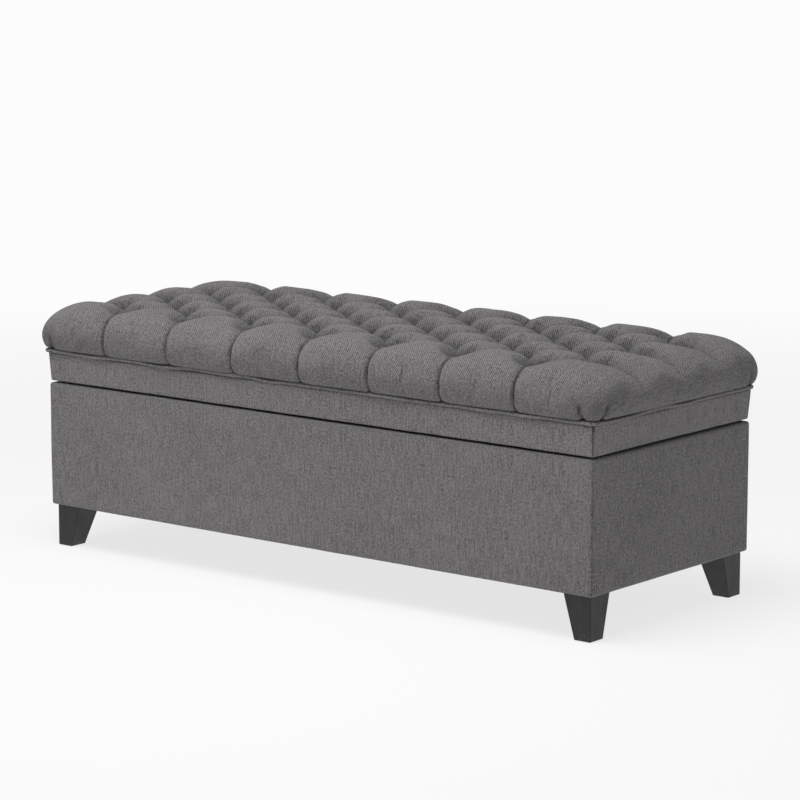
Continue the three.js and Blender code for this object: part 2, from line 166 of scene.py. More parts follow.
def woven_group():
    """Two-over-two twill of heathered yarn. Cloth is a place on the cloth, in metres. The shade input darkens
    the colour: painted shade in creases, hollows, seams and grooves.
    """
    tree, given, result = new_group(
        "woven_cloth",
        [
            ("Cloth", "Vector", None),
            ("Dark", "Color", (0.1, 0.1, 0.1, 1)),
            ("Light", "Color", (0.3, 0.3, 0.3, 1)),
            ("Thread", "Float", 0.0011),
            ("Slubs", "Float", 1.0),
            ("PaintedShade", "Float", 0.0),
        ],
        [("Colour", "Color"), ("Roughness", "Float"), ("Height", "Float")],
    )
    place = given["Cloth"]
    sides = add(tree, "SeparateXYZ", {0: place}).outputs
    yarns = []
    for side in (0, 1):
        count = maths(tree, "DIVIDE", sides[side], given["Thread"])
        number = maths(tree, "FLOOR", count)
        off_centre = maths(tree, "MULTIPLY_ADD", maths(tree, "FRACT", count), 2.0, -1.0)
        roundness = maths(tree, "SUBTRACT", 1.0, maths(tree, "MULTIPLY", off_centre, off_centre))
        tint = add(tree, "TexWhiteNoise", {"W": number}, noise_dimensions="1D").outputs["Value"]
        yarns.append((number, roundness, tint))
    warp, weft = yarns
    step = maths(tree, "FLOORED_MODULO", maths(tree, "ADD", warp[0], weft[0]), 4.0)
    warp_on_top = maths(tree, "LESS_THAN", step, 2.0)
    rise = maths(tree, "MULTIPLY_ADD", warp_on_top, maths(tree, "SUBTRACT", warp[1], weft[1]), weft[1])
    yarn_tint = maths(tree, "MULTIPLY_ADD", warp_on_top, maths(tree, "SUBTRACT", warp[2], weft[2]), weft[2])

    slub = grains(tree, place, (0.0034, 0.032, 1.0), detail=3.0, roughness=0.6)
    cross_slub = grains(tree, place, (0.040, 0.0026, 1.0))
    heather = grains(tree, place, (0.0032, 0.0042, 1.0), detail=3.0, roughness=0.7)
    fleck = remap(tree, grains(tree, place, (0.0016, 0.0042, 1.0), detail=1.0), 0.62, 0.74)
    cloud = grains(tree, place, (0.16, 0.16, 1.0), detail=3.0)

    shade = maths(tree, "MULTIPLY_ADD", maths(tree, "SUBTRACT", yarn_tint, 0.5), 0.10, 0.5)
    shade = maths(tree, "MULTIPLY_ADD", maths(tree, "SUBTRACT", warp_on_top, 0.5), 0.62, shade)
    streaks = maths(tree, "MULTIPLY", maths(tree, "SUBTRACT", slub, 0.5), given["Slubs"])
    shade = maths(tree, "MULTIPLY_ADD", streaks, 1.15, shade)
    shade = maths(tree, "MULTIPLY_ADD", maths(tree, "SUBTRACT", cross_slub, 0.5), 0.12, shade)
    shade = maths(tree, "MULTIPLY_ADD", maths(tree, "SUBTRACT", heather, 0.5), 3.2, shade)
    shade = maths(tree, "MULTIPLY_ADD", maths(tree, "SUBTRACT", cloud, 0.5), 0.35, shade)
    shade = maths(tree, "MULTIPLY_ADD", maths(tree, "SUBTRACT", rise, 0.6), 0.85, shade)
    shade = maths(tree, "MULTIPLY_ADD", fleck, 0.55, shade, clamp=True)
    colour = mix(tree, shade, given["Dark"], given["Light"])
    # painted shade: the colour is darkened where the shade input is high
    in_shade = maths(tree, "SUBTRACT", 1.0, maths(tree, "MULTIPLY", given["PaintedShade"], 0.88))
    colour = mix(tree, 1.0, colour, in_shade, "MULTIPLY")
    height = maths(tree, "MULTIPLY_ADD", slub, 0.5, rise)
    height = maths(tree, "MULTIPLY_ADD", heather, 0.4, height)
    tree.links.new(colour, result["Colour"])
    tree.links.new(remap(tree, heather, 0.2, 0.8, 0.96, 0.82), result["Roughness"])
    tree.links.new(height, result["Height"])
    return tree


def cloth_material(name, group, dark, light, thread, slubs, sheen, bump=0.0005):
    material, tree, shader = new_material(name)
    place = add(tree, "UVMap", uv_map="cloth").outputs[0]
    # painted shade, stored per vertex on the seat and on the sleeves
    painted_shade = add(tree, "Attribute", attribute_name="painted_shade").outputs["Fac"]
    inputs = {"Cloth": place, "PaintedShade": painted_shade, "Thread": thread, "Slubs": slubs}
    inputs.update({"Dark": (*dark, 1), "Light": (*light, 1)})
    weave = add(tree, "Group", inputs, node_tree=group).outputs
    tree.links.new(weave["Colour"], shader.inputs["Base Color"])
    tree.links.new(weave["Roughness"], shader.inputs["Roughness"])
    shader.inputs["Sheen Weight"].default_value = sheen
    shader.inputs["Sheen Roughness"].default_value = 0.45
    shader.inputs["Specular IOR Level"].default_value = 0.25
    bumped(tree, shader, weave["Height"], bump)
    return material


def wood_group():
    """Grain that runs along X, with growth bands, pores and broad colour changes."""
    tree, given, result = new_group(
        "wood_grain",
        [
            ("Place", "Vector", None),
            ("Early", "Color", (0.5, 0.4, 0.25, 1)),
            ("Late", "Color", (0.3, 0.2, 0.1, 1)),
            ("Contrast", "Float", 1.0),
        ],
        [("Colour", "Color"), ("Roughness", "Float"), ("Height", "Float")],
    )
    place = given["Place"]
    wander = grains(tree, place, (0.35, 0.05, 0.05), detail=2.0)
    bands = grains(tree, place, (0.30, 0.006, 0.006), detail=4.0, roughness=0.6)
    pores = remap(tree, grains(tree, place, (0.012, 0.0006, 0.0006), detail=1.0), 0.60, 0.72)
    shade = maths(tree, "MULTIPLY_ADD", maths(tree, "SUBTRACT", bands, 0.5), 1.6, 0.5)
    shade = maths(tree, "MULTIPLY_ADD", maths(tree, "SUBTRACT", wander, 0.5), 1.2, shade)
    off_middle = maths(tree, "SUBTRACT", shade, 0.5)
    shade = maths(tree, "MULTIPLY_ADD", off_middle, given["Contrast"], 0.5, clamp=True)
    colour = mix(tree, shade, given["Early"], given["Late"])
    colour = mix(tree, maths(tree, "MULTIPLY", pores, 0.45), colour, given["Late"])
    tree.links.new(colour, result["Colour"])
    tree.links.new(remap(tree, shade, 0.0, 1.0, 0.0, 0.12), result["Roughness"])
    tree.links.new(maths(tree, "MULTIPLY_ADD", pores, -0.7, shade), result["Height"])
    return tree


def wood_material(name, group, early, late, roughness, contrast=1.0, upright=False, coat=0.0, scuffs=False):
    material, tree, shader = new_material(name)
    place = add(tree, "TexCoord").outputs["Object"]
    turned = place
    if upright:
        turn = {"Vector": place, "Rotation": (0, math.pi / 2, 0)}
        turned = add(tree, "Mapping", turn).outputs[0]
    inputs = {"Place": turned, "Early": (*early, 1), "Late": (*late, 1), "Contrast": contrast}
    wood = add(tree, "Group", inputs, node_tree=group).outputs
    colour = wood["Colour"]
    dull = maths(tree, "ADD", wood["Roughness"], roughness)
    if scuffs:
        low = remap(tree, add(tree, "SeparateXYZ", {0: place}).outputs[2], 0.016, 0.001)
        marks = remap(tree, grains(tree, place, (0.004, 0.004, 0.009), detail=4.0), 0.50, 0.66)
        worn = maths(tree, "MULTIPLY", maths(tree, "MULTIPLY", low, marks), 0.6)
        colour = mix(tree, worn, colour, (0.13, 0.11, 0.10, 1))
        dust = remap(tree, grains(tree, place, (0.02, 0.02, 0.05), detail=3.0), 0.45, 0.75, 0.0, 0.10)
        dull = maths(tree, "ADD", maths(tree, "ADD", dull, dust), maths(tree, "MULTIPLY", worn, 0.3))
    tree.links.new(colour, shader.inputs["Base Color"])
    tree.links.new(dull, shader.inputs["Roughness"])
    shader.inputs["Coat Weight"].default_value = coat
    shader.inputs["Coat Roughness"].default_value = 0.22
    bumped(tree, shader, wood["Height"], 0.00012)
    return material


def metal_material(name, colour, roughness):
    """Zinc plate: cloudy, with fine scratches and dull patches."""
    material, tree, shader = new_material(name)
    place = add(tree, "TexCoord").outputs["Object"]
    cloud = grains(tree, place, (0.012, 0.012, 0.012), detail=4.0)
    scratch = remap(tree, grains(tree, place, (0.0004, 0.02, 0.02), detail=1.0), 0.55, 0.75)
    darker = tuple(0.72 * part for part in colour)
    base = mix(tree, cloud, (*darker, 1), (*colour, 1))
    base = mix(tree, maths(tree, "MULTIPLY", scratch, 0.35), base, (0.75, 0.75, 0.76, 1))
    dull = maths(tree, "MULTIPLY_ADD", cloud, 0.25, roughness - 0.1)
    tree.links.new(base, shader.inputs["Base Color"])
    tree.links.new(maths(tree, "MULTIPLY_ADD", scratch, 0.12, dull), shader.inputs["Roughness"])
    shader.inputs["Metallic"].default_value = 1.0
    bumped(tree, shader, maths(tree, "SUBTRACT", cloud, scratch), 0.00005)
    return material


def plastic_material(name):
    """Moulded plastic with a fine pitted skin, dulled where it stands on the floor."""
    material, tree, shader = new_material(name)
    place = add(tree, "TexCoord").outputs["Object"]
    pits = grains(tree, place, (0.0006, 0.0006, 0.0006), detail=2.0)
    dust = grains(tree, place, (0.006, 0.006, 0.006), detail=3.0)
    base = mix(tree, remap(tree, dust, 0.4, 0.8), (0.012, 0.012, 0.013, 1), (0.05, 0.048, 0.046, 1))
    tree.links.new(base, shader.inputs["Base Color"])
    tree.links.new(remap(tree, dust, 0.3, 0.8, 0.45, 0.7), shader.inputs["Roughness"])
    bumped(tree, shader, pits, 0.00008)
    return material


# ---- Mesh helpers ----

def object_from(bm, name, material, smooth=True):
    mesh = bpy.data.meshes.new(name)
    bm.to_mesh(mesh)
    bm.free()
    for polygon in mesh.polygons:
        polygon.use_smooth = smooth
    piece = bpy.data.objects.new(name, mesh)
    piece.data.materials.append(material)
    bpy.context.scene.collection.objects.link(piece)
    return piece


def eased(piece, width):
    """Rounds a hard piece's sharp edges a little."""
    weld = piece.modifiers.new("weld", "WELD")
    weld.merge_threshold = 0.00001
    bevel = piece.modifiers.new("ease", "BEVEL")
    bevel.width = width
    bevel.segments = 2
    bevel.limit_method = "ANGLE"
    bevel.angle_limit = math.radians(40)


def set_cloth_places(mesh, places):
    """Gives each vertex its place on the flat cloth."""
    layer = mesh.uv_layers.new(name="cloth")
    corner_verts = np.empty(len(mesh.loops), dtype=int)
    mesh.loops.foreach_get("vertex_index", corner_verts)
    layer.data.foreach_set("uv", places[corner_verts].ravel())


# Stores the painted shade that darkens the cloth's colour.
def set_painted_shade(mesh, folds):
    mesh.attributes.new("painted_shade", "FLOAT", "POINT").data.foreach_set("value", folds)


def rough(points, size, seed=0.0):
    """Smooth noise, about -1 to 1, at each point."""
    shift = Vector((seed, 2.3 * seed, -1.7 * seed))
    return np.array([noise.noise(Vector(p) / size + shift) for p in points])


def rounded_path(points, radius, steps=4):
    """A path of (out, height) points whose inner corners are rounded."""
    path = [np.array(points[0])]
    for before, here, after in zip(points, points[1:], points[2:]):
        before, here, after = np.array(before), np.array(here), np.array(after)
        to_before, to_after = before - here, after - here
        room = min(np.linalg.norm(to_before), np.linalg.norm(to_after)) * 0.49
        reach = min(radius, room)
        start = here + to_before / np.linalg.norm(to_before) * reach
        end = here + to_after / np.linalg.norm(to_after) * reach
        for share in np.linspace(0, 1, steps + 1):
            path.append((1 - share) ** 2 * start + 2 * share * (1 - share) * here + share**2 * end)
    path.append(np.array(points[-1]))
    return np.array(path)


def divided(path, longest):
    """The path with points added, so that no step is longer than this."""
    points = [path[0]]
    for a, b in zip(path, path[1:]):
        count = max(1, math.ceil(np.linalg.norm(b - a) / longest))
        points += [a + (b - a) * (i + 1) / count for i in range(count)]
    return np.array(points)


class Ring:
    """Stations round a rectangle with rounded corners, the same stations at every offset."""

    def __init__(self, half, corner, longest, corner_steps):
        self.half, self.corner = half, corner
        self.stations = []
        for quarter in range(4):
            self.stations += [(quarter, step / corner_steps, None) for step in range(corner_steps)]
            length = 2 * (half[0] if quarter in (0, 2) else half[1])
            count = math.ceil(length / longest)
            self.stations += [(quarter, 1.0, step / count) for step in range(count)]
        points = self.points(0.0)
        steps = np.linalg.norm(np.roll(points, -1, 0) - points, axis=1)
        self.arc = np.concatenate([[0], np.cumsum(steps)])

    def corner_point(self, quarter, share, out):
        signs = ((1, 1), (-1, 1), (-1, -1), (1, -1))[quarter % 4]
        radius = max(self.corner + out, 0.0012)
        angle = (quarter + share) * math.pi / 2
        x = signs[0] * (self.half[0] + out - radius) + radius * math.cos(angle)
        y = signs[1] * (self.half[1] + out - radius) + radius * math.sin(angle)
        return np.array([x, y])

    def points(self, out):
        places = []
        for quarter, share, along in self.stations:
            here = self.corner_point(quarter, share, out)
            if along is not None:
                here = here + (self.corner_point(quarter + 1, 0.0, out) - here) * along
            places.append(here)
        return np.array(places)

    def from_corner(self):
        """How far each station is from the nearest corner seam, along the ring."""
        seams = []
        for index, (quarter, share, along) in enumerate(self.stations):
            if along is None and share == 0.5:
                seams.append(self.arc[index])
        total = self.arc[-1]
        away = np.abs(self.arc[:-1, None] - np.array(seams)[None, :])
        return np.minimum(away, total - away).min(1)


def sleeve(name, ring, path, material, closed=False, seam_shade=0.0, slack=0.0, seed=1.0, groove_shade=None):
    """Cloth round a ring, with a cross-section of (out, height) points. The groove shade gives each of them a
    painted shade, and seam_shade a painted shade along the corner seams.
    """
    around, along = len(ring.stations), len(path)
    rows = along + 1 if closed else along
    bm = bmesh.new()
    bmesh.ops.create_grid(bm, x_segments=around, y_segments=rows - 1, size=1)
    bm.verts.ensure_lookup_table()
    outlines = np.array([ring.points(out) for out, _ in path])
    lengths = np.concatenate([[0], np.cumsum(np.linalg.norm(np.diff(path, axis=0), axis=1))])
    columns = [round((v.co.x + 1) / 2 * around) for v in bm.verts]
    levels = [round((v.co.y + 1) / 2 * (rows - 1)) for v in bm.verts]
    uv = bm.loops.layers.uv.new("cloth")
    spots = {}
    for vert, column, level in zip(bm.verts, columns, levels):
        spots[vert] = (ring.arc[column], lengths[level] if level < along else lengths[-1] + 0.002)
    for face in bm.faces:
        for loop in face.loops:
            loop[uv].uv = spots[loop.vert]
    near_seam = np.exp(-((ring.from_corner() / 0.0013) ** 2)) if seam_shade else np.zeros(around)
    groove_shade = np.zeros(along) if groove_shade is None else groove_shade
    painted_shade = bm.verts.layers.float.new("painted_shade")
    for vert, column, level in zip(bm.verts, columns, levels):
        x, y = outlines[level % along][column % around]
        height = path[level % along][1]
        # painted shade along the corner seams and in the grooves
        vert[painted_shade] = max(seam_shade * near_seam[column % around], groove_shade[level % along])
        outward = Vector((x, y, 0)).normalized()
        if abs(y) > ring.half[1] - 0.03:
            side = Vector((0, math.copysign(1, y), 0))
        else:
            side = Vector((math.copysign(1, x), 0, 0))
        spot = Vector((x, y, height))
        loose = slack * noise.noise(spot / 0.055 + Vector((seed, 0, 0)))
        loose += 0.6 * slack * noise.noise(spot / 0.17 + Vector((0, seed, 0)))
        vert.co = spot + side * loose - outward * 0.0009 * near_seam[column % around]
        if closed:
            vert.co.z += slack * noise.noise(spot / 0.07 + Vector((0, 0, seed)))
        else:
            vert.co.z += 0.5 * slack * noise.noise(spot / 0.08 + Vector((0, 0, seed)))
    bmesh.ops.remove_doubles(bm, verts=bm.verts, dist=1e-5)
    bmesh.ops.recalc_face_normals(bm, faces=bm.faces)
    piece = object_from(bm, name, material)
    if not closed:
        solidify = piece.modifiers.new("thickness", "SOLIDIFY")
        solidify.thickness = CLOTH_THICK
        solidify.offset = 0.0
    return piece, (ring.arc[-1], lengths[-1])


# ---- The tufted seat ----

def tuft_places():
    """The seat's 52 tufts, as (column, row) in half spacings."""
    odd = [(2 * c, row) for row in ODD_ROWS for c in range(-3, 4)]
    even = [(2 * c + 1, row) for row in EVEN_ROWS for c in range(-4, 4)]
    return odd + even


def flat_xy(column, row):
    return column * TUFT_SPACING / 2, row * ROW_SPACING


def edge_profile(t):
    """How far out and how high the edge is. T runs over the shoulder to 2, then under the belly to 3."""
    over = np.clip(t / 2, 0, 1) * math.pi / 2
    under = np.clip(t - 2, 0, 1) * math.pi / 2
    out = SHOULDER * np.sin(over) ** 0.92 - TUCK * (1 - np.cos(under))
    height = BELLY + (CREST - BELLY) * np.cos(over) ** 0.92 - (BELLY - SEAM) * np.sin(under)
    return out, height


def grid_lines(half, last_tuft, spacing):
    """Places of the seat mesh's lines along one axis, closer together beside the tufts."""
    count = round(2 * last_tuft / spacing) * CELLS
    steps = np.arange(count + 1) / CELLS
    closer = steps - 0.62 * np.sin(2 * math.pi * steps) / (2 * math.pi)
    inner = -last_tuft + closer * spacing
    rim = half - SHOULDER
    margin_cells = max(2, round((rim - last_tuft) / 0.005))
    margin = np.linspace(last_tuft, rim, margin_cells + 1)[1:]
    return np.concatenate([-margin[::-1], inner, margin])


def seat_mesh():
    """A cube without its underside, whose top and sides are cut into the seat's grid."""
    lines_x = grid_lines(SEAT_HIGH.x, 3.5 * TUFT_SPACING, TUFT_SPACING / 2)
    lines_y = grid_lines(SEAT_HIGH.y, 3 * ROW_SPACING, ROW_SPACING)
    cells = (
        len(lines_x) - 1 + 2 * EDGE_CELLS,
        len(lines_y) - 1 + 2 * EDGE_CELLS,
        EDGE_CELLS + TUCK_CELLS,
    )
    bm = bmesh.new()
    bmesh.ops.create_cube(bm, size=2)
    bottom = [f for f in bm.faces if f.normal.z < -0.5]
    bmesh.ops.delete(bm, geom=bottom, context="FACES_ONLY")
    for axis, count in enumerate(cells):
        along = [e for e in bm.edges if abs(e.verts[0].co[axis] - e.verts[1].co[axis]) > 1e-4]
        bmesh.ops.subdivide_edges(bm, edges=along, cuts=count - 1)
    return bm, (lines_x, lines_y), cells


def on_edge(flat_x, flat_y, excess_x, excess_y, t):
    """The plain cushion's point at a place on its rounded edge. Excess is 0 at the rim and 1 at the side."""
    squareness = 2.2 + 2.2 * np.clip((t - 0.6) / 2, 0, 1)
    length = (abs(excess_x) ** squareness + abs(excess_y) ** squareness) ** (1 / squareness)
    length = np.maximum(length, 1e-9)
    out, height = edge_profile(t)
    toward = np.stack([excess_x / length, excess_y / length], -1)
    place = np.stack([flat_x + out * toward[..., 0], flat_y + out * toward[..., 1], height], -1)
    return place, toward


def seat_base(places, lines, cells):
    """Puts the cube's points on the plain cushion. Gives their positions, places on the cloth, and t."""
    index = np.rint((places + 1) / 2 * np.array(cells)).astype(int)
    flat, excess = [], []
    for axis in (0, 1):
        line = lines[axis]
        i = index[:, axis] - EDGE_CELLS
        flat.append(line[np.clip(i, 0, len(line) - 1)])
        beyond = np.where(i < 0, -i, np.maximum(i - (len(line) - 1), 0))
        excess.append(np.where(i < 0, -1, 1) * beyond / EDGE_CELLS)
    down = cells[2] - index[:, 2]
    ring = np.maximum(abs(excess[0]), abs(excess[1]))
    t = ring + np.minimum(down, EDGE_CELLS) / EDGE_CELLS
    t = t + np.maximum(down - EDGE_CELLS, 0) / TUCK_CELLS
    place, toward = on_edge(flat[0], flat[1], excess[0], excess[1], t)
    steps = np.linspace(0, 3, 301)
    outs, heights = edge_profile(steps)
    arcs = np.concatenate([[0], np.cumsum(np.hypot(np.diff(outs), np.diff(heights)))])
    reach = np.interp(t, steps, arcs)
    cloth = np.stack(flat, 1) + reach[:, None] * toward
    return place, cloth, t


def pleat_path(x, y, side_axis, side, half):
    """Points of a pleat from a tuft, over the rim and down to the seam."""
    t = np.linspace(0, 3, 19)
    out, height = edge_profile(t)
    rim = side * (half - SHOULDER)
    points = np.zeros((len(t) + 1, 3))
    points[:, 0], points[:, 1] = x, y
    points[1:, side_axis] = rim + side * out
    points[0, 2], points[1:, 2] = CREST, height
    return points, np.concatenate([[-0.6], t])


def crease_paths():
    """Wide valleys between the puffs: (points, depths, widths)."""
    paths = []
    tufts = set(tuft_places())
    for column, row in sorted(tufts):
        for side in (-1, 1):
            other = (column + side, row + 1)
            if other in tufts:
                a, b = np.array(flat_xy(column, row)), np.array(flat_xy(*other))
                share = np.linspace(0, 1, 9)
                points = np.array([(*(a + (b - a) * s), CREST) for s in share])
                sag = np.abs(2 * share - 1) ** 1.7
                depths = CREASE_DEPTH + (TUFT_DEPTH - CREASE_DEPTH) * sag
                paths.append((points, depths, np.full(len(share), CREASE_WIDTH)))
    for column in range(-6, 7, 2):
        for side in (-1, 1):
            points, t = pleat_path(*flat_xy(column, 3 * side), 1, side, SEAT_HIGH.y)
            knots = [-0.6, 0, 0.5, 1, 2, 2.6, 3]
            depths = np.interp(t, knots, [TUFT_DEPTH, 0.017, 0.0095, 0.0055, 0.0035, 0.002, 0.0008])
            widths = np.interp(t, [-0.6, 0, 1, 2, 3], [0.045, 0.050, 0.050, 0.040, 0.025])
            paths.append((points, depths, widths))
    for row in EVEN_ROWS:
        for side in (-1, 1):
            points, t = pleat_path(*flat_xy(7 * side, row), 0, side, SEAT_HIGH.x)
            depths = np.interp(t, [-0.6, 0, 0.5, 1, 1.6, 2.2], [TUFT_DEPTH, 0.022, 0.011, 0.006, 0.002, 0])
            widths = np.interp(t, [-0.6, 0, 1, 3], [0.05, 0.054, 0.056, 0.050])
            paths.append((points, depths, widths))
    return paths


def fold_paths():
    """The pleats' sharp sewn lines: (points, depths, width)."""
    paths = []
    for column in range(-6, 7, 2):
        for side in (-1, 1):
            points, t = pleat_path(*flat_xy(column, 3 * side), 1, side, SEAT_HIGH.y)
            depths = np.interp(t, [-0.6, -0.2, 0.3, 2.7, 3], [0, 0.003, 0.0065, 0.006, 0.003])
            paths.append((points, depths, FOLD_WIDTH))
    for row in EVEN_ROWS:
        for side in (-1, 1):
            points, t = pleat_path(*flat_xy(7 * side, row), 0, side, SEAT_HIGH.x)
            depths = np.interp(t, [-0.6, -0.2, 0.3, 0.8, 1.3], [0, 0.003, 0.004, 0.002, 0])
            paths.append((points, depths, FOLD_WIDTH))
    return paths


def corner_paths():
    """The two short darts that take in the cloth at each lower corner."""
    paths = []
    t = np.linspace(1.9, 3, 9)
    depths = np.interp(t, [1.9, 2.3, 3], [0.001, 0.006, 0.007])
    excess = np.interp(t, [1.9, 3], [0.40, 0.62])
    rim_x, rim_y = SEAT_HIGH.x - SHOULDER, SEAT_HIGH.y - SHOULDER
    ones = np.ones(len(t))
    for sx in (-1, 1):
        for sy in (-1, 1):
            corner = (sx * rim_x * ones, sy * rim_y * ones)
            for excess_x, excess_y in ((excess, ones), (ones, excess)):
                points, _ = on_edge(*corner, sx * excess_x, sy * excess_y, t)
                paths.append((points, depths, DART_WIDTH))
    return paths


def nearest(path, points, reach):
    """Which points are near a path, how far each is from it, and where along it, as a point number."""
    near = np.all((points > path.min(0) - reach) & (points < path.max(0) + reach), axis=1)
    chosen = points[near]
    best = np.full(len(chosen), np.inf)
    where = np.zeros(len(chosen))
    for i in range(len(path) - 1):
        along = path[i + 1] - path[i]
        share = np.clip((chosen - path[i]) @ along / (along @ along), 0, 1)
        away = np.linalg.norm(chosen - path[i] - share[:, None] * along, axis=1)
        closer = away < best
        best = np.where(closer, away, best)
        where = np.where(closer, i + share, where)
    return near, best, where


def drawn_in(points):
    """How deep each point of the plain cushion is drawn in, and how much painted shade it gets in the folds,
    creases and hollows it lies in.
    """
    depth = np.zeros(len(points))
    for path, depths, widths in crease_paths():
        near, away, where = nearest(path, points, 0.06)
        numbers = np.arange(len(path))
        share = np.clip(away / np.interp(where, numbers, widths), 0, 1)
        rise = 0.7 * (1 - np.sqrt(1 - (1 - share) ** 2)) + 0.3 * (1 - share) ** 1.6
        depth[near] = np.maximum(depth[near], np.interp(where, numbers, depths) * rise)
    on_top = points[:, 2] > BELLY
    puckers = np.zeros(len(points))
    for number, (column, row) in enumerate(tuft_places()):
        x, y = flat_xy(column, row)
        across, along = points[:, 0] - x, points[:, 1] - y
        away = np.hypot(across, along)
        share = np.clip(away / TUFT_REACH, 0, 1)
        bowl = TUFT_DEPTH * np.cos(share * math.pi / 2) ** 2.2
        depth = np.where(on_top, np.maximum(depth, bowl), depth)
        angle = np.arctan2(along, across)
        lobes = np.cos(PUCKERS * angle + 2.4 * number + 1.3 * np.sin(2 * angle + number))
        strength = np.exp(-(((away - 0.019) / 0.011) ** 2)) * on_top
        puckers += 0.0016 * strength * lobes * (0.6 + 0.4 * np.sin(3 * angle + 1.7 * number))
    painted_shade = np.zeros(len(points))
    for path, depths, width in fold_paths() + corner_paths():
        near, away, where = nearest(path, points, 0.02)
        deep = np.interp(where, np.arange(len(path)), depths)
        depth[near] += deep * np.exp(-((away / width) ** 1.3))
        # painted shade: a dark line along each sewn pleat and dart
        line = np.exp(-((away / (0.7 * width)) ** 2)) * np.clip(deep / 0.004, 0, 1)
        painted_shade[near] = np.maximum(painted_shade[near], line)
    # painted shade in the hollows round the tufts and along the creases, darker where deeper
    hollow_shade = np.clip((depth - 0.002) / 0.030, 0, 1) ** 0.7 * on_top
    return depth + puckers, np.maximum(painted_shade, 0.88 * hollow_shade), painted_shade


def swell(piece, held, growth, pressure, frames, cap):
    """Lets the cloth swell and wrinkle between the places that hold it, then keeps that shape."""
    scene = bpy.context.scene
    count = len(piece.data.vertices)
    start = np.empty(3 * count)
    piece.data.vertices.foreach_get("co", start)
    group = piece.vertex_groups.new(name="held")
    for weight in (0.25, 0.5, 0.75, 1.0):
        chosen = np.nonzero(np.abs(held - weight) <= 0.125)[0].tolist()
        group.add(chosen, weight, "REPLACE")
    cloth = piece.modifiers.new("swell", "CLOTH")
    settings = cloth.settings
    settings.quality = 4
    settings.mass = 0.3
    settings.tension_stiffness = settings.compression_stiffness = 15
    settings.shear_stiffness = 5
    settings.bending_stiffness = 0.4
    settings.use_pressure = True
    settings.uniform_pressure_force = pressure
    settings.shrink_min = -growth
    settings.vertex_group_mass = "held"
    settings.effector_weights.gravity = 0
    cloth.collision_settings.use_collision = False
    for step in range(1, frames + 1):
        scene.frame_set(step)
    moved = np.empty(3 * count)
    evaluated = piece.evaluated_get(bpy.context.evaluated_depsgraph_get())
    evaluated.data.vertices.foreach_get("co", moved)
    piece.modifiers.remove(cloth)
    piece.vertex_groups.remove(piece.vertex_groups["held"])
    scene.frame_set(1)
    move = (moved - start).reshape(-1, 3)
    length = np.linalg.norm(move, axis=1)
    move *= np.minimum(1, cap / np.maximum(length, 1e-9))[:, None]
    piece.data.vertices.foreach_set("co", (start.reshape(-1, 3) + move).ravel())
    piece.data.update()


def tufted_seat(material):
    bm, lines, cells = seat_mesh()
    bm.verts.ensure_lookup_table()
    places = np.array([v.co for v in bm.verts])
    base, cloth, t = seat_base(places, lines, cells)
    for vert, place in zip(bm.verts, base):
        vert.co = place
    bmesh.ops.recalc_face_normals(bm, faces=bm.faces)
    bm.normal_update()
    normals = np.array([v.normal for v in bm.verts])
    flip = 1 if normals[np.argmax(base[:, 2])][2] > 0 else -1
    depth, painted_shade, sewn = drawn_in(base)
    unevenness = 0.0016 * rough(base, 0.075, 3.0) + 0.0007 * rough(base, 0.024, 8.0)
    unevenness *= np.clip((2.95 - t) / 0.3, 0, 1)
    # painted shade low on the seat's side, from under the belly down to the seam
    painted_shade = np.maximum(painted_shade, 0.8 * np.clip((t - 2.80) / 0.15, 0, 1))
    shaped = base + flip * normals * (unevenness - depth)[:, None]
    toward_end = np.clip((abs(base[:, 0]) - DROP_FROM) / DROP_OVER, 0, 1) ** 2
    shaped[:, 2] -= END_DROP * toward_end * np.clip((base[:, 2] - BELLY) / (CREST - BELLY), 0, 1)
    for vert, place in zip(bm.verts, shaped):
        vert.co = place
    rim = [e for e in bm.edges if e.is_boundary]
    sole = bmesh.ops.edgeloop_fill(bm, edges=rim)["faces"]
    bmesh.ops.inset_individual(bm, faces=sole, thickness=0.001)
    for vert in sole[0].verts:
        vert.co.x *= (SEAT_HIGH.x - UNDERSIDE_RIM) / SEAT_HIGH.x
        vert.co.y *= (SEAT_HIGH.y - UNDERSIDE_RIM) / SEAT_HIGH.y
    bmesh.ops.triangulate(bm, faces=sole, ngon_method="BEAUTY")
    bmesh.ops.recalc_face_normals(bm, faces=bm.faces)
    seat = object_from(bm, "seat_cushion", material)
    under = len(seat.data.vertices) - len(cloth)
    set_cloth_places(seat.data, np.vstack([cloth, cloth[-1:].repeat(under, 0)]))
    set_painted_shade(seat.data, np.concatenate([painted_shade, np.zeros(under)]))
    held = np.clip((depth - 0.026) / 0.008, 0, 1)
    held = np.maximum(held, np.clip((t - 2.5) / 0.3, 0, 1))
    held = np.maximum(held, np.clip(sewn * 1.5, 0, 1))
    held = np.concatenate([held, np.ones(under)])
    swell(seat, held, growth=0.035, pressure=3.0, frames=14, cap=0.010)
    subdivision = seat.modifiers.new("soften", "SUBSURF")
    subdivision.levels = subdivision.render_levels = 1
    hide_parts("tufted_cushion")
    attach(seat, "lid")


# ---- Covers, band and welt ----

def box_cover(material):
    high, low = BOX_HIGH - 0.0006, BOX_LOW + 0.0006
    corners = [(-0.0205, high - 0.010), (-0.0205, high), (0.0006, high), (0.0006, low), (-0.022, low)]
    path = divided(rounded_path(corners, 0.005), 0.012)
    ring = Ring(BOX_HALF, COVER_CORNER, STATION, CORNER_STEPS)
    piece, flat = sleeve("box_cover", ring, path, material, seam_shade=0.35, slack=0.0008, seed=2.0)
    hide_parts("cover_front", "cover_rear", "cover_left", "cover_right")
    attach(piece, "box")


